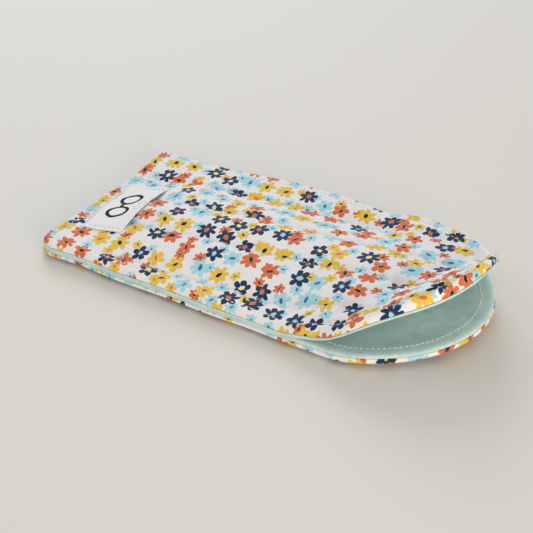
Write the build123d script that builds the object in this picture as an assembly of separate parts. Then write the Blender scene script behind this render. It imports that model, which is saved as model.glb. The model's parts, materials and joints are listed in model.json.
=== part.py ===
from build123d import *
from math import atan, degrees, hypot, sqrt
import os

# Soft slip-in glasses case: two quilted panels sewn together round three sides,
# open at a half-round mouth. +X points out of the mouth, +Z up from the table,
# origin on the table under the middle of the case. Millimetres.

# ---- overall sizes ----
LENGTH = 180.0
WIDTH = 88.0
NEAR_CORNER_R = 9.0           # rounded corners of the closed end
FAR_CORNER_R = 5.0
OUTER_T = 0.6                 # printed cotton
WADDING_T = 2.2
LINING_T = 0.6                # plain cotton
LINING_ROLL = 1.0             # lining rolled out past the printed cotton
SEAM_GAP = 0.25               # between the two linings in the closing seam

# ---- how the panels lie ----
HEM = 5.0                     # flat margin inside the closing seam
EDGE_LIFT = 1.5               # panel edge above the table
EDGE_RUN = 14.0               # width over which the edge lifts
FAR_LIFT_ENDS = 3.0           # the far side stands higher still, near the ends
FAR_LIFT_MIDDLE = 8.0         # and most of all in the middle of the length
FAR_LIFT_REACH = 80.0         # from there to where it is lowest
FAR_LIFT_FROM = 16.0          # the far side starts to stand up this far past the middle
TABLE_PRESS = 0.1             # print flattened by the table under the middle
PUFF_CLOSED = 6.0             # rise of the front panel near the closed end
PUFF_MOUTH = 12.6             # and where the mouth starts
PUFF_RUN = 36.0               # length over which the closed end fills out
MOUTH_ARCH = 0.72             # how much lower the sides of the mouth arch are
FRONT_LIP_RISE = 13.0
BACK_LIP_RISE = 2.5
LIP_RISE_FROM = 20.0          # the front lip starts to rise this far past its bending line
LIP_RISE_RUN = 31.0           # and gains its whole rise over this length
LIP_SLANT = 0.5               # how much sooner that happens at its near side
PART_RUN = 22.0               # length over which the sewn edges come apart

# ---- the two bending lines ----
HINGE_SETBACK = 4.0           # before the centre of the half-round end
FRONT_HINGE_GAP = 0.3         # each side of the front bending line
FRONT_POUCH_BEVEL = 8.0       # degrees, so the lip can close without touching
FRONT_LIP_BEVEL = 10.0
BACK_HINGE_GAP = 0.6          # each side of the back bending line

# ---- thread and label ----
THREAD_T = 0.4
SEAM_INSET = 4.5              # closing seam inside the edge
TOPSTITCH_INSET = 5.5         # lip topstitching inside the edge
TOPSTITCH_START = 3.5         # past the bending line
QUILT_LINES = 4
QUILT_NEAR_SIDE = 11.0        # first quilting line, in from the near side at the case's middle
QUILT_FAR_SIDE = 16.0         # last quilting line, in from the far side
QUILT_SLOPE = 0.07            # the lines slant a little towards the far side
QUILT_START = 12.0            # from the closed end
QUILT_HINGE_GAP = 2.5         # each side of the bending line
QUILT_END_INSET = 8.0         # short of the lip's edge
LABEL_LENGTH = 39.0           # across the case
LABEL_WIDTH = 18.0
LABEL_T = 0.8
LABEL_FROM_END = 19.0         # its middle, from the closed end
LABEL_Y = -6.0
LABEL_TURN = 5.0              # degrees
LABEL_STITCH_INSET = 2.5      # rows of stitching inside the short ends
LABEL_STITCH_END = 1.5        # and their ends inside the long sides

# ---- derived sizes ----
HALF_L = LENGTH / 2
HALF_W = WIDTH / 2
MOUTH_X = HALF_L - HALF_W     # centre of the half-round mouth end
HINGE_X = MOUTH_X - HINGE_SETBACK
QUILT_SPACING = (WIDTH - QUILT_NEAR_SIDE - QUILT_FAR_SIDE) / (QUILT_LINES - 1)
PART_START = MOUTH_X - PART_RUN
LABEL_X = -HALF_L + LABEL_FROM_END
PANEL_T = OUTER_T + WADDING_T + LINING_T
GRID_MARGIN = 4.0             # how far the surfaces run past the outline
GRID_STEP = 4.5
TALL = LENGTH                 # half the size of every cutting block


def smooth(t):
    """Smooth step from 0 to 1."""
    t = max(0.0, min(1.0, t))
    return t * t * (3 - 2 * t)


def side_inset(x, y):
    """Distance inside the long sides, and inside the half-round end past them."""
    return HALF_W - (hypot(x - MOUTH_X, y) if x > MOUTH_X else abs(y))


def edge_lift(x, y):
    """Height of the panel's edge above its flat middle."""
    sides = smooth(side_inset(x, y) / EDGE_RUN)
    end = smooth((x + HALF_L) / EDGE_RUN)
    return EDGE_LIFT * (1 - sides * end)


def far_lift(x, y):
    """Extra height of the far side, which stands up off the table."""
    middle = smooth(1 - abs(x) / FAR_LIFT_REACH)
    lift = FAR_LIFT_ENDS + (FAR_LIFT_MIDDLE - FAR_LIFT_ENDS) * middle
    return lift * smooth((y - FAR_LIFT_FROM) / (HALF_W - FAR_LIFT_FROM))


def back_height(x, y):
    """Underside of the back panel."""
    lip = BACK_LIP_RISE * smooth((x - HINGE_X) / (HALF_L - HINGE_X))
    return edge_lift(x, y) + far_lift(x, y) + lip - TABLE_PRESS


def front_height(x, y):
    """Underside of the front panel, its lining."""
    along = (min(x, HINGE_X) + HALF_L) / (HINGE_X + HALF_L)
    puff = PUFF_CLOSED + (PUFF_MOUTH - PUFF_CLOSED) * along
    puff *= smooth((x + HALF_L - HEM) / PUFF_RUN)
    sewn = max(0.0, 1 - (y / (HALF_W - HEM)) ** 2) ** 1.5
    arch = 1 - MOUTH_ARCH * (y / HALF_W) ** 2
    parted = smooth((x - PART_START) / PART_RUN)
    span = sewn * (1 - parted) + arch * parted
    rise = smooth((x - LIP_SLANT * y - HINGE_X - LIP_RISE_FROM) / LIP_RISE_RUN)
    rest = PANEL_T - TABLE_PRESS + SEAM_GAP + edge_lift(x, y) * (1 - parted)
    return rest + far_lift(x, y) + puff * span + FRONT_LIP_RISE * rise


def steps(low, high, step):
    """Evenly spaced values from low to high, or down from low to high."""
    n = max(1, round(abs(high - low) / step))
    return [low + (high - low) * i / n for i in range(n + 1)]


def surface(height):
    """Spline surface through a height function, a little past the panel's edges."""
    x_end = HALF_L + GRID_MARGIN
    y_end = HALF_W + GRID_MARGIN
    rows = [
        [Vector(x, y, height(x, y)) for y in steps(-y_end, y_end, GRID_STEP)]
        for x in steps(-x_end, x_end, GRID_STEP)
    ]
    return Face.make_surface_from_array_of_points(rows, tol=0.01)


def outline(inset):
    """The panel's plan shape as a tall prism."""
    half_w = HALF_W - inset
    x_low = -HALF_L + inset
    body = Pos((x_low + MOUTH_X) / 2, 0) * Rectangle(MOUTH_X - x_low, 2 * half_w)
    for y, radius in ((-half_w, NEAR_CORNER_R), (half_w, FAR_CORNER_R)):
        corner = body.vertices().sort_by_distance((x_low, y))[0]
        body = fillet(corner, max(radius - inset, THREAD_T))
    return extrude(body + Pos(MOUTH_X, 0) * Circle(half_w), TALL, both=True)


def half_space(x, z, bevel, side):
    """Block on one side of a plane across the case through (x, z), leaning in by bevel degrees."""
    block = Pos(side * TALL, 0, 0) * Box(2 * TALL, 2 * TALL, 2 * TALL)
    return Pos(x, 0, z) * Rot(0, side * -bevel, 0) * block


def layer(height, bottom, thickness, plan):
    """Closed solid of even upright thickness over a panel's surface, cut to a plan prism."""
    face = Pos(0, 0, bottom) * surface(height)
    return extrude(face, thickness, dir=(0, 0, 1)) & plan


def ring(inset):
    """Plan prism of a thread that runs parallel to the panel's edge."""
    return outline(inset - THREAD_T / 2) - outline(inset + THREAD_T / 2)


def quilt_line(y, x_low, x_high):
    """Plan prism of one straight quilting thread."""
    x = (x_low + x_high) / 2
    length = (x_high - x_low) * sqrt(1 + QUILT_SLOPE ** 2)
    turn = degrees(atan(QUILT_SLOPE))
    plan = Pos(x, y + QUILT_SLOPE * x) * Rot(0, 0, turn) * Rectangle(length, THREAD_T)
    return extrude(plan, TALL, both=True)


def quilt_start(y):
    """Where a quilting line starts, past the closed end and clear of the side seam."""
    x = -HALF_L + QUILT_START
    while side_inset(x, y + QUILT_SLOPE * x) < SEAM_INSET + 2 * THREAD_T:
        x += 0.5
    return x


def lip_quilt_end(y):
    """Where a quilting line stops short of the lip's edge."""
    x = HALF_L
    while side_inset(x, y + QUILT_SLOPE * x) < QUILT_END_INSET:
        x -= 0.5
    return x


FRONT_HINGE_Z = front_height(HINGE_X, 0) + PANEL_T

# Name, height above the panel's underside, thickness, inset from the outline.
FRONT_STACK = (
    ("lining", 0.0, LINING_T, 0.0),
    ("wadding", LINING_T, WADDING_T, LINING_ROLL),
    ("outer", LINING_T + WADDING_T, OUTER_T, LINING_ROLL),
)
BACK_STACK = (
    ("outer", 0.0, OUTER_T, LINING_ROLL),
    ("wadding", OUTER_T, WADDING_T, LINING_ROLL),
    ("lining", OUTER_T + WADDING_T, LINING_T, 0.0),
)

front_pouch_side = half_space(HINGE_X - FRONT_HINGE_GAP, FRONT_HINGE_Z, FRONT_POUCH_BEVEL, -1)
front_lip_side = half_space(HINGE_X + FRONT_HINGE_GAP, FRONT_HINGE_Z, FRONT_LIP_BEVEL, 1)
above_table = Pos(0, 0, TALL) * Box(2 * TALL, 2 * TALL, 2 * TALL)
back_pouch_side = above_table & half_space(HINGE_X - BACK_HINGE_GAP, 0, 0, -1)
back_lip_side = above_table & half_space(HINGE_X + BACK_HINGE_GAP, 0, 0, 1)

parts = {}
panels = (
    ("front", front_height, FRONT_STACK, front_pouch_side, front_lip_side),
    ("back", back_height, BACK_STACK, back_pouch_side, back_lip_side),
)
for panel, height, stack, pouch_side, lip_side in panels:
    for name, bottom, thickness, inset in stack:
        whole = layer(height, bottom, thickness, outline(inset))
        parts[f"{panel}_{name}"] = whole & pouch_side
        parts[f"{panel}_lip_{name}"] = whole & lip_side

# Closing seam, on top of the front panel round the near side, closed end and far side.
sewn_side = half_space(PART_START, 0, 0, -1)
parts["closing_seam_thread"] = layer(
    front_height, PANEL_T, THREAD_T, ring(SEAM_INSET) & sewn_side
)

# Topstitching round each lip: on the print in front, on the lining at the back.
lip_ring = ring(TOPSTITCH_INSET) & half_space(HINGE_X + TOPSTITCH_START, 0, 0, 1)
parts["front_lip_topstitch"] = layer(front_height, PANEL_T, THREAD_T, lip_ring)
parts["back_lip_topstitch"] = layer(back_height, PANEL_T, THREAD_T, lip_ring)

# Quilting lines, on the printed side of the front panel and of its lip.
for number in range(1, QUILT_LINES + 1):
    y = -HALF_W + QUILT_NEAR_SIDE + QUILT_SPACING * (number - 1)
    body_line = quilt_line(y, quilt_start(y), HINGE_X - QUILT_HINGE_GAP)
    lip_line = quilt_line(y, HINGE_X + QUILT_HINGE_GAP, lip_quilt_end(y))
    parts[f"front_quilting_thread_{number}"] = layer(
        front_height, PANEL_T, THREAD_T, body_line
    )
    parts[f"front_lip_quilting_thread_{number}"] = layer(
        front_height, PANEL_T, THREAD_T, lip_line
    )

# Woven label on the front panel near the closed end, a row of thread at each short end.
label_place = Pos(LABEL_X, LABEL_Y) * Rot(0, 0, LABEL_TURN)
label_plan = label_place * Rectangle(LABEL_WIDTH, LABEL_LENGTH)
label = layer(front_height, PANEL_T, LABEL_T, extrude(label_plan, TALL, both=True))
for number in range(1, QUILT_LINES + 1):
    label -= parts[f"front_quilting_thread_{number}"]
parts["label"] = label
row_y = LABEL_LENGTH / 2 - LABEL_STITCH_INSET
for end, side in (("near", -1), ("far", 1)):
    row = label_place * Pos(0, side * row_y) * Rectangle(LABEL_WIDTH - 2 * LABEL_STITCH_END, THREAD_T)
    parts[f"label_stitching_{end}"] = layer(
        front_height, PANEL_T + LABEL_T, THREAD_T, extrude(row, TALL, both=True)
    )

os.makedirs("parts", exist_ok=True)
for node, solid in parts.items():
    export_step(solid, f"parts/{node}.step")
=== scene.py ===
# The looks of a soft slip-in glasses case: two quilted cotton panels with an aqua lining, sewn together
# round three sides, open at a half-round mouth. Sizes are millimetres until a mesh is written in metres.

import json
import logging
import math
from collections.abc import Callable
from dataclasses import dataclass, field
from enum import Enum

import bpy
import numpy as np
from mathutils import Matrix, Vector

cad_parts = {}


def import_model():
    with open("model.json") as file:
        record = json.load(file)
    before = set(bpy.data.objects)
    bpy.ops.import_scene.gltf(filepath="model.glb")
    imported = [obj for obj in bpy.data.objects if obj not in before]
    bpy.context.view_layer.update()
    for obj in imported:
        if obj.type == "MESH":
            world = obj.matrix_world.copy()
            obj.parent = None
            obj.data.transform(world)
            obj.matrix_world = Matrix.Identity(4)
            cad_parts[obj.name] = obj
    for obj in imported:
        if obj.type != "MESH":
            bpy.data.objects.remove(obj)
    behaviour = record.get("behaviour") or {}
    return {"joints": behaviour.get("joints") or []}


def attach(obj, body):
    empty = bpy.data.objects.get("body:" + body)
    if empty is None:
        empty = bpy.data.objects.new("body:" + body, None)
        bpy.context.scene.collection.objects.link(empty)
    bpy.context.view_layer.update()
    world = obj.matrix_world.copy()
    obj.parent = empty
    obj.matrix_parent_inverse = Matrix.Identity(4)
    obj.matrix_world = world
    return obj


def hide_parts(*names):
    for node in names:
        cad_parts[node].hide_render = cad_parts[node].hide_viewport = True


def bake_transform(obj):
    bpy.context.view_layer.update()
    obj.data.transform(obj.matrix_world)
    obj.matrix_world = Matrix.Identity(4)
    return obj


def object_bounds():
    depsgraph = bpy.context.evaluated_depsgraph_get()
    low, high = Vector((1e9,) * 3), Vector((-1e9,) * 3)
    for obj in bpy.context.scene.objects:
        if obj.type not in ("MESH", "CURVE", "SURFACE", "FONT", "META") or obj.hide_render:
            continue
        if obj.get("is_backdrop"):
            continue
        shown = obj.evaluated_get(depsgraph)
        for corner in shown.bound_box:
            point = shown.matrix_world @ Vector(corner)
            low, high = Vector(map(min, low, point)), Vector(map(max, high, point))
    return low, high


log = logging.getLogger("glasses_case")

MM = 0.001
Array = np.ndarray
Height = Callable[[Array, Array], Array]


# ---------------------------------------------------------------- small helpers


def linear(hex_colour: str) -> tuple[float, float, float, float]:
    """Turns an sRGB hex colour to linear light.

    Args:
        hex_colour: six hex digits, with or without a leading #.

    Returns:
        Red, green, blue and an alpha of 1.
    """
    digits = hex_colour.lstrip("#")
    channels = [int(digits[i : i + 2], 16) / 255 for i in (0, 2, 4)]
    light = [c / 12.92 if c <= 0.04045 else ((c + 0.055) / 1.055) ** 2.4 for c in channels]
    return (light[0], light[1], light[2], 1.0)


def smooth(t: Array | float) -> Array:
    """Smooth step from 0 to 1."""
    t = np.clip(t, 0.0, 1.0)
    return t * t * (3 - 2 * t)


def dip(distance: Array, width: float) -> Array:
    """Bell curve of height 1 over a distance from a line."""
    return np.exp(-((distance / width) ** 2))


@dataclass(frozen=True)
class Ripple:
    """Sum of sine waves in seeded directions, for cloth that is never quite flat."""

    seed: int
    wavelength: float
    amplitude: float
    waves: int = 7

    def at(self, x: Array, y: Array) -> Array:
        """Height of the ripple.

        Args:
            x: places along the case.
            y: places across the case.

        Returns:
            Heights of the same shape, within about one amplitude of zero.
        """
        rng = np.random.RandomState(self.seed)
        total = np.zeros(np.broadcast(x, y).shape)
        for _ in range(self.waves):
            turn, phase = rng.uniform(0, 2 * math.pi, 2)
            length = self.wavelength * rng.uniform(0.7, 1.5)
            along = x * math.cos(turn) + y * math.sin(turn)
            total = total + np.sin(2 * math.pi * along / length + phase)
        return self.amplitude * total / math.sqrt(self.waves)


# How sewn cloth strays from its drawn shape, in millimetres: the whole panel sags, the lining folds, the
# hem and the field between the quilting are never even, and no edge is ruled straight.
SAG = Ripple(5, 46.0, 0.35)
FOLDS = Ripple(31, 34.0, 0.45)
HEM_UNEVEN = Ripple(11, 9.0, 0.16)
FIELD_UNEVEN = Ripple(23, 13.0, 0.14)
TAPE_UNEVEN = Ripple(71, 16.0, 0.1)
SWAY_ALONG = Ripple(101, 27.0, 0.22)
SWAY_ACROSS = Ripple(102, 24.0, 0.26)


# ---------------------------------------------------------------- shader helpers

Sockets = dict[str | int, object]


def wave_scale(spacing_mm: float) -> float:
    """Scale of a Wave texture whose bands lie a real spacing apart."""
    return 0.314 / (spacing_mm * MM)


def add_node(
    tree: bpy.types.NodeTree,
    kind: str,
    settings: dict[str, object] | None = None,
    inputs: Sockets | None = None,
) -> bpy.types.Node:
    """Adds one node with its settings, values and links.

    Args:
        tree: the node tree it goes in.
        kind: Blender's name for the node type.
        settings: attributes of the node itself.
        inputs: socket name or number to a value, or to an output socket to link from.

    Returns:
        The new node.
    """
    node = tree.nodes.new(kind)
    for name, value in (settings or {}).items():
        setattr(node, name, value)
    for name, value in (inputs or {}).items():
        socket = node.inputs[name]
        if isinstance(value, bpy.types.NodeSocket):
            tree.links.new(value, socket)
        else:
            socket.default_value = value
    return node


def new_material(name: str) -> tuple[bpy.types.Material, bpy.types.NodeTree, bpy.types.Node]:
    """Makes an empty material.

    Args:
        name: the material's name.

    Returns:
        The material, its node tree and its Principled shader, already linked to the output.
    """
    material = bpy.data.materials.new(name)
    material.use_nodes = True
    tree = material.node_tree
    tree.nodes.clear()
    shader = add_node(tree, "ShaderNodeBsdfPrincipled")
    add_node(tree, "ShaderNodeOutputMaterial", inputs={"Surface": shader.outputs[0]})
    return material, tree, shader


def stepped_ramp(ramp: bpy.types.ColorRamp, stops: "Inks") -> None:
    """Sets a colour ramp to hard steps of inks.

    Args:
        ramp: the ramp to fill.
        stops: start of each step from 0 to 1, and its ink.
    """
    ramp.interpolation = "CONSTANT"
    while len(ramp.elements) > 1:
        ramp.elements.remove(ramp.elements[-1])
    ramp.elements[0].position = stops[0][0]
    ramp.elements[0].color = linear(stops[0][1].value)
    for place, ink in stops[1:]:
        ramp.elements.new(place).color = linear(ink.value)


def set_matt_cotton(shader: bpy.types.Node, roughness: float, sheen: float = 0.0) -> None:
    """Sets the surface that all cotton here shares: matt, with loose fibres that catch the light.

    Args:
        shader: the Principled shader.
        roughness: how matt it is, from 0 to 1.
        sheen: how much light the fibres catch at a grazing angle.
    """
    shader.inputs["Roughness"].default_value = roughness
    shader.inputs["Specular IOR Level"].default_value = 0.25
    shader.inputs["Sheen Weight"].default_value = sheen
    shader.inputs["Sheen Roughness"].default_value = 0.5


# ---------------------------------------------------------------- finishes


@dataclass(frozen=True)
class CottonWeave:
    """Plain weave of cotton yarn, shared by the print, the lining and the label.

    Real yarns lie about 0.25 mm apart, too fine to show, so they are drawn at yarn_mm.
    """

    yarn_mm: float = 0.55
    slub_mm: float = 1.6
    depth_mm: float = 0.05
    strength: float = 0.35

    def bump(self, tree: bpy.types.NodeTree) -> bpy.types.NodeSocket:
        """Adds the weave and the faint slubs of cotton yarn to a material.

        Args:
            tree: the material's node tree.

        Returns:
            The bumped normal.
        """
        place = add_node(tree, "ShaderNodeTexCoord").outputs["Object"]
        waves = []
        for direction in ("X", "Y"):
            wave = add_node(
                tree,
                "ShaderNodeTexWave",
                {"bands_direction": direction},
                {"Vector": place, "Scale": wave_scale(self.yarn_mm), "Distortion": 1.2, "Detail": 1.0},
            )
            waves.append(wave.outputs["Fac"])
        woven = add_node(tree, "ShaderNodeMath", {"operation": "MULTIPLY"}, {0: waves[0], 1: waves[1]})
        slub = add_node(
            tree, "ShaderNodeTexNoise", inputs={"Vector": place, "Scale": 1 / (self.slub_mm * MM)}
        )
        height = add_node(
            tree,
            "ShaderNodeMath",
            {"operation": "ADD"},
            {0: woven.outputs[0], 1: slub.outputs["Fac"]},
        )
        bump = add_node(
            tree,
            "ShaderNodeBump",
            inputs={"Strength": self.strength, "Distance": self.depth_mm * MM, "Height": height.outputs[0]},
        )
        return bump.outputs[0]


class FlowerColour(Enum):
    """Screen-printing inks of the flower print."""

    ORANGE = "D9703F"
    YELLOW = "E4C34A"
    SKY = "A5D9EA"
    NAVY = "163359"
    INK = "15181F"
    BLUE = "2C74A8"
    STRAW = "EFE3A8"


Inks = tuple[tuple[float, FlowerColour], ...]


@dataclass(frozen=True)
class FlowerLayer:
    """One scatter of small flowers, each with its own colour, turn and size.

    Flowers sit about pitch_cm apart. Lengths after that are shares of the pitch, and the petals' and the
    middle's sizes are shares of the flower's own radius.
    """

    pitch_cm: float
    radius: float
    shift: tuple[float, float]
    petals: Inks
    centres: Inks
    scatter: float = 0.42
    hand_drift: float = 0.11
    hand_scale: float = 6.0
    petal_middle: float = 0.59
    petal_half_length: float = 0.41
    petal_slimness: float = 1.72
    centre_radius: float = 0.38

    def sums(self) -> tuple[tuple[object, ...], ...]:
        """Steps of the flower's outline: a name, a sum, and numbers or names of earlier results.

        Returns:
            The steps, in the order that they are worked out.
        """
        return (
            # Five, six or seven petals, each flower with its own turn and size.
            ("angle", "ARCTAN2", "y", "x"),
            ("more", "MULTIPLY", "chance_2", 2.99),
            ("whole", "FLOOR", "more"),
            ("count", "ADD", 5.0, "whole"),
            ("half_turn", "DIVIDE", math.pi, "count"),
            ("turned", "MULTIPLY_ADD", "chance_3", 6.28, "angle"),
            ("other_half", "MULTIPLY", "half_turn", -1.0),
            ("folded", "WRAP", "turned", "half_turn", "other_half"),
            ("size", "MULTIPLY_ADD", "chance_2", 0.22 * self.radius, 0.84 * self.radius),
            # One petal's place: out from the middle and aside from its own line, then its oval.
            ("cosine", "COSINE", "folded"),
            ("reach_out", "MULTIPLY", "reach", "cosine"),
            ("out", "DIVIDE", "reach_out", "size"),
            ("sine", "SINE", "folded"),
            ("reach_aside", "MULTIPLY", "reach", "sine"),
            ("aside", "DIVIDE", "reach_aside", "size"),
            ("past", "SUBTRACT", "out", self.petal_middle),
            ("long_way", "DIVIDE", "past", self.petal_half_length),
            ("slimness", "DIVIDE", "count", self.petal_slimness),
            ("short_way", "MULTIPLY", "aside", "slimness"),
            ("long_squared", "POWER", "long_way", 2.0),
            ("short_squared", "POWER", "short_way", 2.0),
            ("squares", "ADD", "long_squared", "short_squared"),
            ("oval", "SQRT", "squares"),
            ("in_petal", "SUBTRACT", 1.0, "oval"),
            # The middle is a dab of the brush, longer one way than the other.
            ("slanted", "MULTIPLY_ADD", "chance_3", 9.0, "angle"),
            ("slant_sine", "SINE", "slanted"),
            ("slant", "ABSOLUTE", "slant_sine"),
            ("stretch", "MULTIPLY_ADD", "slant", 0.8, 1.0),
            ("dab", "MULTIPLY", "reach", "stretch"),
            ("dab_size", "MULTIPLY", "size", self.centre_radius),
            ("in_centre", "SUBTRACT", "dab_size", "dab"),
        )

    def paint(
        self, tree: bpy.types.NodeTree, cloth: bpy.types.NodeSocket, under: object
    ) -> bpy.types.NodeSocket:
        """Prints the layer over a colour.

        Args:
            tree: the material's node tree.
            cloth: place on the cloth in centimetres.
            under: colour already printed, as a value or a socket.

        Returns:
            The colour with this layer's flowers on it.
        """
        grid = add_node(
            tree,
            "ShaderNodeVectorMath",
            {"operation": "MULTIPLY_ADD"},
            {0: cloth, 1: (1 / self.pitch_cm,) * 3, 2: (*self.shift, 0.0)},
        )
        wobble = add_node(
            tree, "ShaderNodeTexNoise", inputs={"Vector": grid.outputs[0], "Scale": self.hand_scale}
        )
        hand = add_node(
            tree,
            "ShaderNodeVectorMath",
            {"operation": "MULTIPLY_ADD"},
            {0: wobble.outputs["Color"], 1: (self.hand_drift, self.hand_drift, 0.0), 2: grid.outputs[0]},
        )
        cells = add_node(
            tree,
            "ShaderNodeTexVoronoi",
            {"voronoi_dimensions": "2D"},
            {"Vector": hand.outputs[0], "Scale": 1.0, "Randomness": self.scatter},
        )
        local = add_node(
            tree,
            "ShaderNodeVectorMath",
            {"operation": "SUBTRACT"},
            {0: hand.outputs[0], 1: cells.outputs["Position"]},
        )
        axes = add_node(tree, "ShaderNodeSeparateXYZ", inputs={0: local.outputs[0]})
        reach = add_node(tree, "ShaderNodeVectorMath", {"operation": "LENGTH"}, {0: local.outputs[0]})
        chance = add_node(tree, "ShaderNodeSeparateColor", inputs={0: cells.outputs["Color"]})
        known: dict[object, bpy.types.NodeSocket] = {
            "x": axes.outputs[0],
            "y": axes.outputs[1],
            "reach": reach.outputs["Value"],
            "chance_2": chance.outputs[1],
            "chance_3": chance.outputs[2],
        }
        for name, operation, *values in self.sums():
            inputs = {slot: known.get(value, value) for slot, value in enumerate(values)}
            known[name] = add_node(tree, "ShaderNodeMath", {"operation": operation}, inputs).outputs[0]
        colour = under
        for edge, soft, inks in (("in_petal", 0.08, self.petals), ("in_centre", 0.03, self.centres)):
            mask = add_node(
                tree,
                "ShaderNodeMapRange",
                inputs={"Value": known[edge], "From Min": 0.0, "From Max": soft},
            )
            ink = add_node(tree, "ShaderNodeValToRGB", inputs={0: chance.outputs[0]})
            stepped_ramp(ink.color_ramp, inks)
            colour = add_node(
                tree,
                "ShaderNodeMix",
                {"data_type": "RGBA"},
                {0: mask.outputs[0], 6: colour, 7: ink.outputs[0]},
            ).outputs[2]
        return colour


@dataclass(frozen=True)
class PrintedCotton:
    """Screen-printed quilting cotton: soft matt flowers on a cool white ground."""

    ground: str = "E9EAF0"
    weave: CottonWeave = field(default_factory=CottonWeave)
    roughness: float = 0.85
    sheen: float = 0.12

    def layers(self) -> tuple[FlowerLayer, FlowerLayer]:
        """Describes the two scatters of flowers.

        Returns:
            The small filling flowers, then the large ones printed over them.
        """
        ink = FlowerColour
        below = FlowerLayer(
            pitch_cm=0.93,
            radius=0.30,
            shift=(31.4, 17.7),
            petals=((0.0, ink.SKY), (0.5, ink.YELLOW), (0.8, ink.ORANGE)),
            centres=((0.0, ink.BLUE), (0.5, ink.ORANGE), (0.65, ink.INK), (0.8, ink.NAVY)),
        )
        above = FlowerLayer(
            pitch_cm=0.96,
            radius=0.45,
            shift=(3.3, 5.2),
            petals=((0.0, ink.ORANGE), (0.30, ink.YELLOW), (0.50, ink.SKY), (0.66, ink.NAVY)),
            centres=(
                (0.0, ink.NAVY),
                (0.14, ink.INK),
                (0.43, ink.ORANGE),
                (0.50, ink.BLUE),
                (0.66, ink.ORANGE),
                (0.82, ink.STRAW),
                (0.92, ink.SKY),
            ),
        )
        return below, above

    def material(self) -> bpy.types.Material:
        """Builds the material, printed by the cloth's own centimetres.

        Returns:
            The material.
        """
        material, tree, shader = new_material("screen_printed_cotton")
        cloth = add_node(tree, "ShaderNodeUVMap", {"uv_map": "cloth"}).outputs[0]
        colour: object = linear(self.ground)
        for layer in self.layers():
            colour = layer.paint(tree, cloth, colour)
        # Ink sinks in unevenly, so each colour is a little blotchy.
        blotch = add_node(tree, "ShaderNodeTexNoise", inputs={"Vector": cloth, "Scale": 9.0, "Detail": 4.0})
        fade = add_node(
            tree,
            "ShaderNodeMapRange",
            inputs={
                "Value": blotch.outputs["Fac"],
                "From Min": 0.3,
                "From Max": 0.75,
                "To Min": 0.95,
                "To Max": 1.04,
            },
        )
        faded = add_node(
            tree, "ShaderNodeVectorMath", {"operation": "SCALE"}, {0: colour, "Scale": fade.outputs[0]}
        )
        tree.links.new(faded.outputs[0], shader.inputs["Base Color"])
        tree.links.new(self.weave.bump(tree), shader.inputs["Normal"])
        set_matt_cotton(shader, self.roughness, self.sheen)
        return material


@dataclass(frozen=True)
class DyedCotton:
    """Plain piece-dyed cotton: matt, with the faint cloudiness of vat dye."""

    name: str
    colour: str
    deep: str
    weave: CottonWeave = field(default_factory=CottonWeave)
    cloud_mm: float = 7.0
    roughness: float = 0.88
    sheen: float = 0.15

    def material(self) -> bpy.types.Material:
        """Builds the material.

        Returns:
            The material.
        """
        material, tree, shader = new_material(self.name)
        place = add_node(tree, "ShaderNodeTexCoord").outputs["Object"]
        cloud = add_node(
            tree,
            "ShaderNodeTexNoise",
            inputs={"Vector": place, "Scale": 1 / (self.cloud_mm * MM), "Detail": 7.0, "Roughness": 0.72},
        )
        spread = add_node(
            tree,
            "ShaderNodeMapRange",
            inputs={"Value": cloud.outputs["Fac"], "From Min": 0.35, "From Max": 0.7},
        )
        dyed = add_node(
            tree,
            "ShaderNodeMix",
            {"data_type": "RGBA"},
            {0: spread.outputs[0], 6: linear(self.deep), 7: linear(self.colour)},
        )
        tree.links.new(dyed.outputs[2], shader.inputs["Base Color"])
        tree.links.new(self.weave.bump(tree), shader.inputs["Normal"])
        set_matt_cotton(shader, self.roughness, self.sheen)
        return material


@dataclass(frozen=True)
class PrintedRing:
    """One ring of the label's sign, in millimetres from the label's middle, long side first."""

    x: float
    y: float
    radius: float
    line: float
    ink: str
    above: float | None = None

    def paint(
        self, tree: bpy.types.NodeTree, place: bpy.types.NodeSocket, under: object
    ) -> bpy.types.NodeSocket:
        """Prints the ring over a colour, or only the arch of it above a height.

        Args:
            tree: the material's node tree.
            place: place on the label in millimetres.
            under: colour already printed, as a value or a socket.

        Returns:
            The colour with the ring on it.
        """
        away = add_node(
            tree, "ShaderNodeVectorMath", {"operation": "DISTANCE"}, {0: place, 1: (self.x, self.y, 0.0)}
        )
        mask = add_node(
            tree,
            "ShaderNodeMath",
            {"operation": "COMPARE"},
            {0: away.outputs["Value"], 1: self.radius, 2: self.line / 2},
        )
        if self.above is not None:
            axes = add_node(tree, "ShaderNodeSeparateXYZ", inputs={0: place})
            upper = add_node(
                tree, "ShaderNodeMath", {"operation": "GREATER_THAN"}, {0: axes.outputs[1], 1: self.above}
            )
            mask = add_node(
                tree, "ShaderNodeMath", {"operation": "MULTIPLY"}, {0: mask.outputs[0], 1: upper.outputs[0]}
            )
        return add_node(
            tree,
            "ShaderNodeMix",
            {"data_type": "RGBA"},
            {0: mask.outputs[0], 6: under, 7: linear(self.ink)},
        ).outputs[2]


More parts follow.
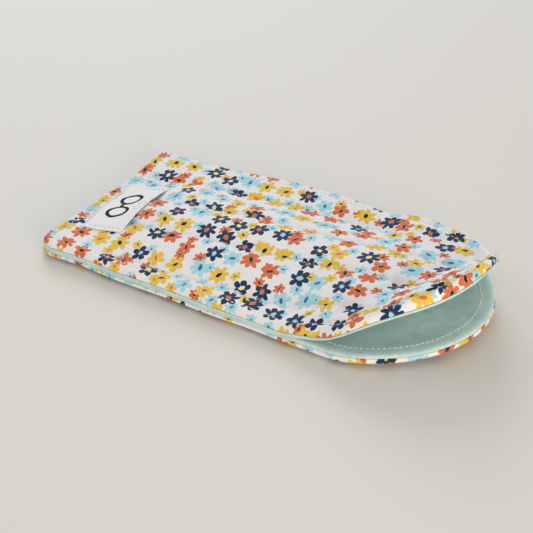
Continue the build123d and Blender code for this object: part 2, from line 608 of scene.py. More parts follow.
@dataclass(frozen=True)
class PrintedTape:
    """White cotton tape with a printed spectacles sign, slightly off-white at the yarns."""

    ground: str = "EDEEF1"
    ink: str = "15161A"
    pink: str = "E79A9C"
    lens_mm: float = 4.2
    lens_apart_mm: float = 11.6
    lens_y: float = 1.5
    line_mm: float = 1.5
    dot_mm: float = 1.5
    dot_y: float = -6.0
    dot_line_mm: float = 0.35
    weave: CottonWeave = CottonWeave(yarn_mm=0.45, strength=0.4)

    def sign(self) -> list[PrintedRing]:
        """Describes the sign: two lenses, two small pink rings, and the bridge last.

        Returns:
            The rings, in printing order.
        """
        half = self.lens_apart_mm / 2
        rings = []
        for x in (-half, half):
            rings.append(PrintedRing(x, self.lens_y, self.lens_mm, self.line_mm, self.ink))
            rings.append(PrintedRing(x * 0.42, self.dot_y, self.dot_mm, self.dot_line_mm, self.pink))
        bridge = half - self.lens_mm
        rings.append(PrintedRing(0.0, 1.2, bridge, self.line_mm, self.ink, above=1.6))
        return rings

    def material(self) -> bpy.types.Material:
        """Builds the material, printed by millimetres from the label's middle, long side first.

        Returns:
            The material.
        """
        material, tree, shader = new_material("printed_cotton_tape")
        place = add_node(tree, "ShaderNodeUVMap", {"uv_map": "cloth"}).outputs[0]
        colour: object = linear(self.ground)
        for ring in self.sign():
            colour = ring.paint(tree, place, colour)
        tree.links.new(colour, shader.inputs["Base Color"])
        tree.links.new(self.weave.bump(tree), shader.inputs["Normal"])
        set_matt_cotton(shader, 0.8)
        return material


@dataclass(frozen=True)
class SpunThread:
    """White spun polyester sewing thread: two plies twisted together, a slight shine, and painted shade in
    the groove between the plies.
    """

    colour: str = "EFEFEC"
    # Painted shade: a darker white for the groove where the two plies meet.
    painted_shade_between_plies: str = "D9D9D5"
    ply_mm: float = 0.5
    roughness: float = 0.55

    def material(self) -> bpy.types.Material:
        """Builds the material.

        Returns:
            The material.
        """
        material, tree, shader = new_material("spun_sewing_thread")
        place = add_node(tree, "ShaderNodeTexCoord").outputs["Object"]
        twist = add_node(
            tree,
            "ShaderNodeTexWave",
            {"bands_direction": "DIAGONAL"},
            {"Vector": place, "Scale": wave_scale(self.ply_mm)},
        )
        # Painted shade: the thread's colour darkens in the groove between the two plies.
        shade = add_node(
            tree,
            "ShaderNodeMix",
            {"data_type": "RGBA"},
            {0: twist.outputs["Fac"], 6: linear(self.painted_shade_between_plies), 7: linear(self.colour)},
        )
        bump = add_node(
            tree,
            "ShaderNodeBump",
            inputs={"Strength": 0.5, "Distance": 0.05 * MM, "Height": twist.outputs["Fac"]},
        )
        tree.links.new(shade.outputs[2], shader.inputs["Base Color"])
        tree.links.new(bump.outputs[0], shader.inputs["Normal"])
        shader.inputs["Roughness"].default_value = self.roughness
        return material


# ---------------------------------------------------------------- the form of the case


class Face(Enum):
    """Which panel of the case."""

    FRONT = "front"
    BACK = "back"


@dataclass(frozen=True)
class CaseForm:
    """Plan shape of the case and how its two panels lie."""

    length: float
    width: float
    hinge_x: float
    # Radii of the two corners at the closed end.
    near_corner: float = 9.0
    far_corner: float = 5.0
    # How the edge lifts off the table all round, and how much more the far side does.
    edge_lift: float = 1.5
    edge_run: float = 14.0
    far_lift_ends: float = 3.0
    far_lift_middle: float = 8.0
    far_lift_reach: float = 80.0
    far_lift_from: float = 16.0
    # How far the front panel stands off the back one, and how flat it is across at the mouth.
    puff_closed: float = 6.0
    puff_mouth: float = 12.6
    puff_run: float = 36.0
    hem: float = 5.0
    mouth_arch: float = 0.72
    # How the two lips rise past the hinge. The front one rises on a slant.
    front_rise: float = 13.0
    front_rise_from: float = 20.0
    front_rise_run: float = 31.0
    lip_slant: float = 0.5
    back_rise: float = 2.5
    part_run: float = 22.0
    # Thickness of one panel, and the room between two sewn ones.
    panel: float = 3.4
    seam_gap: float = 0.15
    # Where the sewing runs.
    seam_inset: float = 4.5
    topstitch_inset: float = 5.5
    quilt_lines: int = 4
    quilt_near: float = 11.0
    quilt_far: float = 16.0
    quilt_slope: float = 0.07

    @property
    def half_l(self) -> float:
        """Half the length."""
        return self.length / 2

    @property
    def half_w(self) -> float:
        """Half the width."""
        return self.width / 2

    @property
    def mouth_x(self) -> float:
        """Centre of the half-round end."""
        return self.half_l - self.half_w

    def inset(self, x: Array, y: Array) -> Array:
        """Distance inside the outline, rounded at the closed end's corners.

        Args:
            x: places along the case.
            y: places across the case.

        Returns:
            Millimetres, 0 on the outline itself.
        """
        side = self.half_w - np.abs(y)
        end = x + self.half_l
        r = np.where(y < 0, self.near_corner, self.far_corner)
        corner = r - np.hypot(np.maximum(r - side, 0), np.maximum(r - end, 0))
        straight = np.where((side < r) & (end < r), corner, np.minimum(side, end))
        round_end = self.half_w - np.hypot(x - self.mouth_x, y)
        return np.where(x > self.mouth_x, round_end, straight)

    def half_width(self, x: Array, margin: float, corner: float) -> Array:
        """Half the width of the outline at x, on the side with the given corner.

        Args:
            x: places along the case.
            margin: how far inside the outline the edge is.
            corner: radius of that side's corner at the closed end.

        Returns:
            Distances from the middle line.
        """
        r = max(corner - margin, 0.4)
        before = np.clip(r - (x + self.half_l - margin), 0, r)
        straight = self.half_w - margin - r + np.sqrt(np.maximum(r * r - before**2, 0))
        past = np.clip(x - self.mouth_x, 0, self.half_w)
        turned = np.sqrt(np.maximum((self.half_w - margin) ** 2 - past**2, 0.3))
        return np.where(x > self.mouth_x, turned, straight)

    def far_lift(self, x: Array, y: Array) -> Array:
        """Extra height of the far side, which stands up off the table.

        Args:
            x: places along the case.
            y: places across the case.

        Returns:
            Millimetres of height.
        """
        middle = smooth(1 - np.abs(x) / self.far_lift_reach)
        lift = self.far_lift_ends + (self.far_lift_middle - self.far_lift_ends) * middle
        return lift * smooth((y - self.far_lift_from) / (self.half_w - self.far_lift_from))

    def lift(self, x: Array, y: Array) -> Array:
        """How far the panel's edge lifts above its middle.

        Args:
            x: places along the case.
            y: places across the case.

        Returns:
            Millimetres of height.
        """
        radial = self.half_w - np.where(x > self.mouth_x, np.hypot(x - self.mouth_x, y), np.abs(y))
        from_sides = smooth(radial / self.edge_run)
        return self.edge_lift * (1 - from_sides * smooth((x + self.half_l) / self.edge_run))

    def parted(self, x: Array) -> Array:
        """0 where the two edges are sewn together, 1 where they stand apart."""
        return smooth((x - self.mouth_x + self.part_run) / self.part_run)

    def back_under(self, x: Array, y: Array) -> Array:
        """Height of the printed underside of the back panel.

        Args:
            x: places along the case.
            y: places across the case.

        Returns:
            Millimetres above the table.
        """
        lip = self.back_rise * smooth((x - self.hinge_x) / (self.half_l - self.hinge_x))
        return self.lift(x, y) + self.far_lift(x, y) + lip

    def front_under(self, x: Array, y: Array) -> Array:
        """Height of the lining side of the front panel.

        Args:
            x: places along the case.
            y: places across the case.

        Returns:
            Millimetres above the table.
        """
        along = (np.minimum(x, self.hinge_x) + self.half_l) / (self.hinge_x + self.half_l)
        puff = self.puff_closed + (self.puff_mouth - self.puff_closed) * along
        puff = puff * smooth((x + self.half_l - self.hem) / self.puff_run)
        sewn = np.maximum(0.0, 1 - (y / (self.half_w - self.hem)) ** 2) ** 1.5
        arch = 1 - self.mouth_arch * (y / self.half_w) ** 2
        apart = self.parted(x)
        span = sewn * (1 - apart) + arch * apart
        slanted = x - self.lip_slant * y - self.hinge_x - self.front_rise_from
        rise = smooth(slanted / self.front_rise_run)
        rest = self.panel + self.seam_gap + self.lift(x, y) * (1 - apart) + self.far_lift(x, y)
        return rest + puff * span + self.front_rise * rise

    def quilt_y(self, x: Array, line: int) -> Array:
        """Finds where one quilting line runs.

        Args:
            x: places along the case.
            line: the line's number, from the near side.

        Returns:
            Places across the case.
        """
        spacing = (self.width - self.quilt_near - self.quilt_far) / (self.quilt_lines - 1)
        return -self.half_w + self.quilt_near + spacing * line + self.quilt_slope * x

    def quilt_distance(self, x: Array, y: Array, line: int) -> Array:
        """Signed distance from one quilting line."""
        return (y - self.quilt_y(x, line)) / math.hypot(1, self.quilt_slope)


def sway(x: Array, y: Array) -> tuple[Array, Array]:
    """Moves plan points a little, the same for every layer, so that no edge is ruled straight.

    Args:
        x: places along the case.
        y: places across the case.

    Returns:
        The moved places, along and across. The tip of the lips stays where it is.
    """
    tip, run, share = 88.0, 30.0, 0.9
    fade = smooth((tip - x) / run) * share
    return x + fade * SWAY_ALONG.at(x, y), y + fade * SWAY_ACROSS.at(x, y)


# Distances in from the outline where the cloth turns most, so its grid is closest there.
EDGE_STEPS = (0.0, 0.2, 0.45, 0.8, 1.25, 1.8, 2.5, 3.3, 4.2)


@dataclass(frozen=True)
class Grid:
    """Rows across the case and columns along it, closer together at the edges."""

    x: Array
    y: Array

    @staticmethod
    def over(form: CaseForm, margin: float, step: float) -> "Grid":
        """Lays the grid inside the outline.

        Args:
            form: the case.
            margin: how far inside the outline the grid's own edge is.
            step: spacing away from the edges.

        Returns:
            The grid, one row after another.
        """
        edge = np.array(EDGE_STEPS)
        low = -form.half_l + margin
        run = np.arange(low + edge[-1] + step, form.mouth_x, step)
        turn = np.radians(np.arange(0.0, 88.6, math.degrees(step / form.half_w)))
        rows = np.concatenate([low + edge, run, form.mouth_x + (form.half_w - margin) * np.sin(turn)])
        count = int(2 * (form.half_w - edge[-1]) / step)
        middle = np.linspace(0, 1, count)[1:-1]
        near = form.half_width(rows, margin, form.near_corner)
        far = form.half_width(rows, margin, form.far_corner)
        y = []
        for w_near, w_far in zip(near, far):
            squeeze = min(1.0, min(w_near, w_far) / 12.0)
            start = -w_near + edge * squeeze
            stop = w_far - edge * squeeze
            y.append(np.concatenate([start, start[-1] + (stop[-1] - start[-1]) * middle, stop[::-1]]))
        grid_y = np.array(y)
        grid_x = np.repeat(rows[:, None], grid_y.shape[1], axis=1)
        return Grid(grid_x, grid_y)


def closed_sheet(
    name: str, grid: Grid, low: Array, high: Array, uv: tuple[Array, Array] | None = None
) -> bpy.types.Object:
    """Builds a closed cloth between two height fields.

    Args:
        name: the new object's name.
        grid: where the points are in plan.
        low: heights of the underside.
        high: heights of the top.
        uv: places on the cloth of the top's points and of the underside's, two numbers each.

    Returns:
        The object, in metres, smooth shaded.
    """
    rows, columns = grid.x.shape
    plan_x, plan_y = sway(grid.x, grid.y)
    points = np.concatenate(
        [np.stack([plan_x, plan_y, z], -1).reshape(-1, 3) for z in (high, low)]
    )
    index = np.arange(rows * columns).reshape(rows, columns)
    a, b, c, d = index[:-1, :-1], index[1:, :-1], index[1:, 1:], index[:-1, 1:]
    top = np.stack([a, b, c, d], -1).reshape(-1, 4)
    bottom = top[:, ::-1] + rows * columns
    rim = np.concatenate([index[0, :], index[1:, -1], index[-1, -2::-1], index[-2:0:-1, 0]])
    after = np.roll(rim, -1)
    wall = np.stack([rim, after, after + rows * columns, rim + rows * columns], -1)
    faces = np.concatenate([top, bottom, wall])
    mesh = bpy.data.meshes.new(name)
    mesh.from_pydata((points * MM).tolist(), [], faces.tolist())
    mesh.polygons.foreach_set("use_smooth", [True] * len(mesh.polygons))
    if uv is not None:
        layer = mesh.uv_layers.new(name="cloth")
        corners = np.empty(len(mesh.loops), np.int32)
        mesh.loops.foreach_get("vertex_index", corners)
        flat = np.concatenate([places.reshape(-1, 2) for places in uv])
        layer.data.foreach_set("uv", flat[corners].reshape(-1).astype(np.float32))
    mesh.update()
    made = bpy.data.objects.new(name, mesh)
    bpy.context.scene.collection.objects.link(made)
    return made


@dataclass
class QuiltedPanel:
    """One panel of the case: printed cotton, wadding and lining, quilted and turned.

    The lining rolls out past the print at the edge, so it shows as an aqua line all round.
    """

    form: CaseForm
    face: Face
    print_finish: bpy.types.Material
    lining_finish: bpy.types.Material
    wadding_finish: bpy.types.Material
    # Thickness of each cloth, and how high the lining and the print show round the edge.
    cloth_t: float = 0.45
    seam_roll: float = 1.9
    lip_roll: float = 1.15
    seam_wrap: float = 0.1
    lip_wrap: float = 1.3
    # Where each cloth stops short of the outline, and how far in the rounding at the edge dies away.
    print_back: float = 0.55
    lining_back: float = 0.3
    roll_run: float = 2.4
    round_run: float = 3.0
    rim_turn: float = 3.0
    # What the sewing does: it pulls the edge down, puffs the hem, and leaves grooves and puckers.
    seam_pull: float = 1.45
    seam_pull_run: float = 6.0
    hem_puff: float = 0.8
    groove_depth: float = 1.35
    quilt_depth: float = 1.55
    pucker: float = 0.46
    pucker_pitch: float = 6.2
    # The front lip's tip curls up: how far, about which bearing in degrees, and how far round and in.
    curl: float = 2.4
    curl_middle: float = 30.0
    curl_reach: float = 26.0
    curl_run: float = 6.5
    # The wadding, thin and slack, and the least room between and within the layers.
    fill_inset: float = 3.6
    fill_gap: float = 0.06
    fill_least: float = 0.3
    slack_fill: float = 0.35
    layer_gap: float = 0.03
    thinnest: float = 0.05
    # Spacing of the grids that the cloths and the wadding are built on.
    step: float = 1.25
    fill_step: float = 2.4

    @property
    def print_inset(self) -> float:
        """How far inside the outline the printed cotton ends."""
        return self.print_back if self.face is Face.FRONT else 0.0

    @property
    def lining_inset(self) -> float:
        """How far inside the outline the lining ends."""
        return 0.0 if self.face is Face.FRONT else self.lining_back

    def roll_at(self, x: Array) -> Array:
        """Height of the lining that shows at the edge, less round the lips than along the seam."""
        return self.seam_roll + (self.lip_roll - self.seam_roll) * self.form.parted(x)

    def wrap_at(self, x: Array) -> Array:
        """Height of the printed cotton that shows at the edge beside the lining.

        Args:
            x: places along the case.

        Returns:
            Millimetres of height.
        """
        if self.face is Face.FRONT:
            return np.full_like(x, self.seam_wrap)
        return self.seam_wrap + (self.lip_wrap - self.seam_wrap) * self.form.parted(x)

    def lining_side(self, x: Array, y: Array) -> Array:
        """Height of the panel's lining side, front panel above it, back panel below it.

        Args:
            x: places along the case.
            y: places across the case.

        Returns:
            Millimetres above the table.
        """
        inset = self.form.inset(x, y)
        if self.face is Face.BACK:
            folds = FOLDS.at(x, y) * smooth((inset - 3) / 12)
            return self.form.back_under(x, y) + self.thickness(x, y, relief=False) + folds
        sag = SAG.at(x, y) * smooth(inset / 12)
        apart = self.form.parted(x)
        turn = np.degrees(np.arctan2(y, x - self.form.mouth_x))
        tip = dip(turn - self.curl_middle, self.curl_reach) * (1 - smooth(inset / self.curl_run))
        pull = self.seam_pull * (1 - smooth(inset / self.seam_pull_run)) * (1 - apart)
        return self.form.front_under(x, y) + sag - pull + self.curl * tip * apart

    def stitched_inset(self, x: Array) -> Array:
        """How far inside the edge the panel is stitched.

        Args:
            x: places along the case.

        Returns:
            Millimetres from the outline.
        """
        apart = self.form.parted(x)
        return self.form.seam_inset * (1 - apart) + self.form.topstitch_inset * apart

    def groove(self, x: Array, y: Array) -> Array:
        """Depth of the stitched groove inside the edge, deepest at the closed end and the lip.

        Args:
            x: places along the case.
            y: places across the case.

        Returns:
            Millimetres of depth.
        """
        inset = self.form.inset(x, y)
        at_end = 1 - smooth((x + self.form.half_l - 8) / 18)
        strength = np.maximum(np.maximum(at_end, self.form.parted(x)), 0.35)
        return self.groove_depth * strength * dip(inset - self.stitched_inset(x), 1.15)

    def quilting(self, x: Array, y: Array) -> Array:
        """Relief of the quilting: valleys at the lines, puckers beside them.

        Args:
            x: places along the case.
            y: places across the case.

        Returns:
            Millimetres, below zero in the valleys.
        """
        inset = self.form.inset(x, y)
        inside = smooth((inset - self.stitched_inset(x) - 0.8) / 3)
        relief = np.zeros_like(x)
        for line in range(self.form.quilt_lines):
            away = self.form.quilt_distance(x, y, line)
            valley = 0.62 * dip(away, 1.1) + 0.38 * dip(away, 4.2)
            drift = Ripple(40 + line, 30.0, 1.1).at(x, y)
            wave = np.sin(2 * math.pi * (x + 0.45 * np.abs(away)) / self.pucker_pitch + 2.1 * line + drift)
            beside = dip(away, 5.0) * (1 - dip(away, 0.9))
            relief = relief - self.quilt_depth * valley + self.pucker * wave * beside
        return relief * inside

    def thickness(self, x: Array, y: Array, relief: bool = True) -> Array:
        """Thickness of the whole panel, thin and round at its edge.

        Args:
            x: places along the case.
            y: places across the case.
            relief: whether the stitching's valleys and puckers are in it.

        Returns:
            Millimetres of thickness.
        """
        inset = self.form.inset(x, y)
        u = np.clip((inset - self.print_inset) / self.round_run, 0, 1)
        edge = self.roll_at(x) + self.wrap_at(x)
        full = self.form.panel + 0.35
        thick = edge + (full - edge) * np.sqrt(np.maximum(1 - (1 - u) ** 2, 0))
        if relief:
            hem = HEM_UNEVEN.at(x, y) * smooth(inset / 2) * (1 - smooth((inset - 4) / 4))
            soft = FIELD_UNEVEN.at(x, y) * smooth((inset - 2) / 4)
            tube = self.hem_puff * self.form.parted(x) * dip(inset - 2.5, 1.7) * smooth(inset / 0.8)
            thick = thick - self.groove(x, y) + self.quilting(x, y) + hem + soft + tube
        return np.maximum(thick, edge)

    def print_side(self, x: Array, y: Array) -> Array:
        """Height of the printed side.

        Args:
            x: places along the case.
            y: places across the case.

        Returns:
            Millimetres above the table.
        """
        if self.face is Face.FRONT:
            return self.lining_side(x, y) + self.thickness(x, y)
        flat = self.form.back_under(x, y)
        full = self.thickness(x, y, relief=False)
        return np.maximum(flat + (full - self.thickness(x, y)) * 0.8, 0.0)

    def lining_shell(self, x: Array, y: Array) -> tuple[Array, Array]:
        """Heights of the lining's inner and outer sides, with the rolled edge.

        Args:
            x: places along the case.
            y: places across the case.

        Returns:
            Heights of its lower side and of its upper side.
        """
        inset = self.form.inset(x, y) - self.lining_inset
        roll = self.roll_at(x)
        r = roll / 2
        rounding = r - np.sqrt(np.maximum(r * r - np.clip(r - inset, 0, r) ** 2, 0))
        outer = self.cloth_t + (roll - self.cloth_t) * (1 - smooth(inset / self.roll_run))
        base = self.lining_side(x, y)
        if self.face is Face.FRONT:
            return base + rounding, base + np.maximum(outer - rounding, rounding + 0.02)
        return base - np.maximum(outer - rounding, rounding + 0.02), base - rounding

    def outward(self, x: Array, y: Array) -> Array:
        """Finds the plan direction towards the nearest edge.

        Args:
            x: places along the case.
            y: places across the case.

        Returns:
            Two numbers for each point, of length 1 together.
        """
        nudge = 0.05
        out_x = self.form.inset(x - nudge, y) - self.form.inset(x + nudge, y)
        out_y = self.form.inset(x, y - nudge) - self.form.inset(x, y + nudge)
        return np.stack([out_x, out_y], -1) / np.maximum(np.hypot(out_x, out_y), 1e-6)[..., None]

    def cloth_places(self, x: Array, y: Array, z: Array) -> Array:
        """Place on the printed cloth in centimetres, measured over the puffs and round the edges.

        Args:
            x: places along the case.
            y: places across the case.
            z: heights of the cloth.

        Returns:
            Two numbers for each point.
        """
        middle = y.shape[1] // 2
        over = np.cumsum(np.hypot(np.diff(y, axis=1), np.diff(z, axis=1)), axis=1)
        over = np.concatenate([np.zeros((len(y), 1)), over], axis=1)
        across = over - over[:, middle : middle + 1] + y[:, middle : middle + 1]
        u = np.linspace(0, 1, 60)
        profile = np.sqrt(1 - (1 - u) ** 2) * (self.form.panel - self.lip_roll)
        arc = np.concatenate([[0], np.cumsum(np.hypot(np.diff(u) * self.round_run, np.diff(profile)))])
        at = np.clip((self.form.inset(x, y) - self.print_inset) / self.round_run, 0, 1)
        extra = (arc[-1] - self.round_run) - (np.interp(at, u, arc) - at * self.round_run)
        along = x + extra * self.outward(x, y)[..., 0]
        # The two panels are cut from different places on the bolt.
        cut_from = 103.0 if self.face is Face.FRONT else 160.0
        return np.stack([along + cut_from, across + 60], -1) / 10

    def build(self, body: str, lip: str, bend: float) -> list[bpy.types.Object]:
        """Builds the print, the wadding and the lining, and hides their CAD parts.

        Args:
            body: the CAD body of the sewn part; not used.
            lip: the CAD body of the lip; not used.
            bend: where the panel bends, in millimetres along the case; not used.

        Returns:
            The three pieces, print first.
        """
        side = self.face.value
        wide = Grid.over(self.form, self.lining_inset, self.step)
        lining_low, lining_high = self.lining_shell(wide.x, wide.y)
        lining = closed_sheet(f"{side}_lining_cloth", wide, lining_low, lining_high)
        inner = Grid.over(self.form, self.print_inset, self.step)
        low, high = self.lining_shell(inner.x, inner.y)
        outside = self.print_side(inner.x, inner.y)
        if self.face is Face.FRONT:
            under = np.maximum(high + self.layer_gap, outside - self.cloth_t)
            outside = np.maximum(outside, under + self.thinnest)
            print_low, print_high = under, outside
        else:
            # The print turns up round the rim, and is rounded there like any folded cloth.
            inset = self.form.inset(inner.x, inner.y)
            turned = self.rim_turn * smooth(1 - inset / self.roll_run)
            over = np.minimum(low - self.layer_gap, outside + self.cloth_t + turned)
            outside = np.minimum(outside, over - self.thinnest)
            r = 0.45 * (over - outside)
            rounding = r - np.sqrt(np.maximum(r * r - np.clip(r - inset, 0, r) ** 2, 0))
            print_low, print_high = outside + rounding, over - rounding
        outer = print_high if self.face is Face.FRONT else print_low
        places = self.cloth_places(inner.x, inner.y, outer)
        turned_in = places + self.outward(inner.x, inner.y) * (print_high - print_low)[..., None] / 10
        places = (places, places) if self.face is Face.FRONT else (turned_in, places)
        cloth = closed_sheet(f"{side}_printed_cloth", inner, print_low, print_high, places)
        wadding = self.fill(f"{side}_wadding_fill")
        pairs = (
            (cloth, self.print_finish, "outer", "printed_cotton"),
            (wadding, self.wadding_finish, "wadding", "wadding"),
            (lining, self.lining_finish, "lining", "lining_cotton"),
        )
        for piece, finish, layer, slot in pairs:
            piece.data.materials.append(finish)
            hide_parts(f"{side}_{layer}", f"{side}_lip_{layer}")
            blend_over_mouth(piece)
            log.info("%s: %d points", piece.name, len(piece.data.vertices))
        return [cloth, wadding, lining]

    def fill(self, name: str) -> bpy.types.Object:
        """Builds the wadding, a little clear of the two cloths it lies between.

        Args:
            name: the new object's name.

        Returns:
            The wadding.
        """
        grid = Grid.over(self.form, self.fill_inset, self.fill_step)
        low, high = self.lining_shell(grid.x, grid.y)
        printed = self.print_side(grid.x, grid.y)
        if self.face is Face.FRONT:
            bottom, top = high + self.fill_gap, printed - self.cloth_t - self.fill_gap
        else:
            bottom, top = printed + self.cloth_t + self.fill_gap, low - self.fill_gap
        return closed_sheet(name, grid, bottom, np.maximum(top, bottom + self.fill_least))


def blend_over_mouth(piece: bpy.types.Object) -> None:
    """Bakes a piece's transform into its mesh.

    Args:
        piece: the finished mesh.
    """
    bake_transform(piece)


@dataclass
class StitchRow:
    """A row of running stitches, each one a short raised thread that dips in at both ends."""

    name: str
    node: str
    path: Array
    surface: Height
    finish: bpy.types.Material
    stitch: float = 1.5
    gap: float = 0.55
    radius: float = 0.22
    lead: float = 0.3
    sunk_share: float = 0.45
    sides: int = 6
    rings: int = 5

    def build(self) -> bpy.types.Object:
        """Builds the row as one mesh that stands for its CAD thread, one stitch after another.

        Returns:
            The new object, not yet on a body.
        """
        steps = np.hypot(*np.diff(self.path, axis=0).T)
        along = np.concatenate([[0], np.cumsum(steps)])
        starts = np.arange(self.lead, along[-1] - self.stitch, self.stitch + self.gap)
        t = np.linspace(-1, 1, self.rings)
        around = np.arange(self.sides) * 2 * math.pi / self.sides
        fat = (self.radius * np.sqrt(1.02 - 0.8 * t**4))[:, None]
        # A stitch lies on the cloth in its middle and sinks in at both ends.
        sink = self.radius * (1 - t**4) - self.sunk_share * self.radius
        points, faces = [], []
        for number, start in enumerate(starts):
            s = start + self.stitch * (t + 1) / 2
            x = np.interp(s, along, self.path[:, 0])
            y = np.interp(s, along, self.path[:, 1])
            heading = np.array([x[-1] - x[0], y[-1] - y[0]])
            across = np.array([-heading[1], heading[0]]) / max(np.hypot(*heading), 1e-6)
            z = self.surface(x, y) + sink
            x, y = sway(x, y)
            ring = (
                x[:, None] + across[0] * fat * np.cos(around),
                y[:, None] + across[1] * fat * np.cos(around),
                z[:, None] + fat * np.sin(around),
            )
            points.append(np.stack(ring, -1).reshape(-1, 3))
            faces += self.skin(number * self.rings * self.sides)
        mesh = bpy.data.meshes.new(self.name)
        mesh.from_pydata((np.concatenate(points) * MM).tolist(), [], faces)
        mesh.polygons.foreach_set("use_smooth", [True] * len(mesh.polygons))
        mesh.materials.append(self.finish)
        made = bpy.data.objects.new(self.name, mesh)
        bpy.context.scene.collection.objects.link(made)
        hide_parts(self.node)
        return made

    def skin(self, base: int) -> list[tuple[int, ...]]:
        """Closes one stitch's rings into a capsule.

        Args:
            base: number of the stitch's first point.

        Returns:
            Its faces.
        """
        faces = []
        for ring in range(self.rings - 1):
            for k in range(self.sides):
                a = base + ring * self.sides + k
                b = base + ring * self.sides + (k + 1) % self.sides
                faces.append((a, b, b + self.sides, a + self.sides))
        last = base + (self.rings - 1) * self.sides
        faces.append(tuple(base + k for k in reversed(range(self.sides))))
        faces.append(tuple(last + k for k in range(self.sides)))
        return faces


@dataclass
class Stitching:
    """All the sewing that shows: the closing seam, the lips' topstitching and the quilting."""

    front: QuiltedPanel
    back: QuiltedPanel
    finish: bpy.types.Material
    bend: float
    # Thread radii, then where rows start and stop short of the hinge, the closed end and the hem.
    thread: float = 0.22
    fine_thread: float = 0.17
    lip_start: float = 3.5
    quilt_start: float = 12.0
    quilt_stop: float = 1.0
    quilt_again: float = 1.5
    hem_clear: float = 1.5

    def seam_path(self, inset: float, x_end: float) -> Array:
        """Lays a line round the near side, the closed end and the far side.

        Args:
            inset: how far inside the outline it runs.
            x_end: where it ends on both sides, along the case.

        Returns:
            Plan points.
        """
        form = self.front.form
        y, x = form.half_w - inset, -form.half_l + inset
        turn = np.radians(np.linspace(0, 90, 12))
        halves = []
        for side, corner in ((-1, form.near_corner), (1, form.far_corner)):
            r = max(corner - inset, 0.4)
            straight = np.stack([np.linspace(x_end, x + r, 60), np.full(60, side * y)], -1)
            bend = np.stack([x + r - r * np.sin(turn), side * (y - r + r * np.cos(turn))], -1)
            halves.append(np.concatenate([straight, bend[1:]]))
        return np.concatenate([halves[0], halves[1][::-1]])

    def lip_path(self, inset: float, x_start: float) -> Array:
        """Lays a line round a lip, from side to side.

        Args:
            inset: how far inside the outline it runs.
            x_start: where it starts on both sides, along the case.

        Returns:
            Plan points.
        """
        form = self.front.form
        r = form.half_w - inset
        turn = np.radians(np.linspace(-90, 90, 90))
        arc = np.stack([form.mouth_x + r * np.cos(turn), r * np.sin(turn)], -1)
        return np.concatenate([[(x_start, -r)], arc, [(x_start, r)]])

    def quilt_path(self, line: int, x_low: float, x_high: float) -> Array:
        """Lays a line along the quilting, kept inside the hem.

        Args:
            line: the quilting line's number, from the near side.
            x_low: where it starts, along the case.
            x_high: where it ends.

        Returns:
            Plan points.
        """
        form = self.front.form
        x = np.linspace(x_low, x_high, 120)
        y = form.quilt_y(x, line)
        keep = form.inset(x, y) > form.topstitch_inset + self.hem_clear
        return np.stack([x[keep], y[keep]], -1)

    def build(self) -> list[bpy.types.Object]:
        """Builds every row.

        Returns:
            The rows.
        """
        form = self.front.form
        top = self.front.print_side
        seam = self.seam_path(form.seam_inset, form.mouth_x - form.part_run)
        lip = self.lip_path(form.topstitch_inset, self.bend + self.lip_start)
        rows = [("closing_seam_stitches", "closing_seam_thread", seam, top, "front_lip", self.thread)]
        for side, surface in (("front", top), ("back", self.back.lining_side)):
            names = (f"{side}_lip_stitches", f"{side}_lip_topstitch")
            rows.append((*names, lip, surface, f"{side}_lip", self.thread))
        spans = (
            ("front_quilting", -form.half_l + self.quilt_start, self.bend - self.quilt_stop),
            ("front_lip_quilting", self.bend + self.quilt_again, form.half_l),
        )
        for line in range(form.quilt_lines):
            for name, low, high in spans:
                names = (f"{name}_stitches_{line + 1}", f"{name}_thread_{line + 1}")
                path = self.quilt_path(line, low, high)
                rows.append((*names, path, top, "front_lip", self.fine_thread))
        made = []
        for name, node, path, surface, body, radius in rows:
            piece = StitchRow(name, node, path, surface, self.finish, radius=radius).build()
            blend_over_mouth(piece)
            made.append(piece)
        log.info("stitching: %d rows", len(made))
        return made


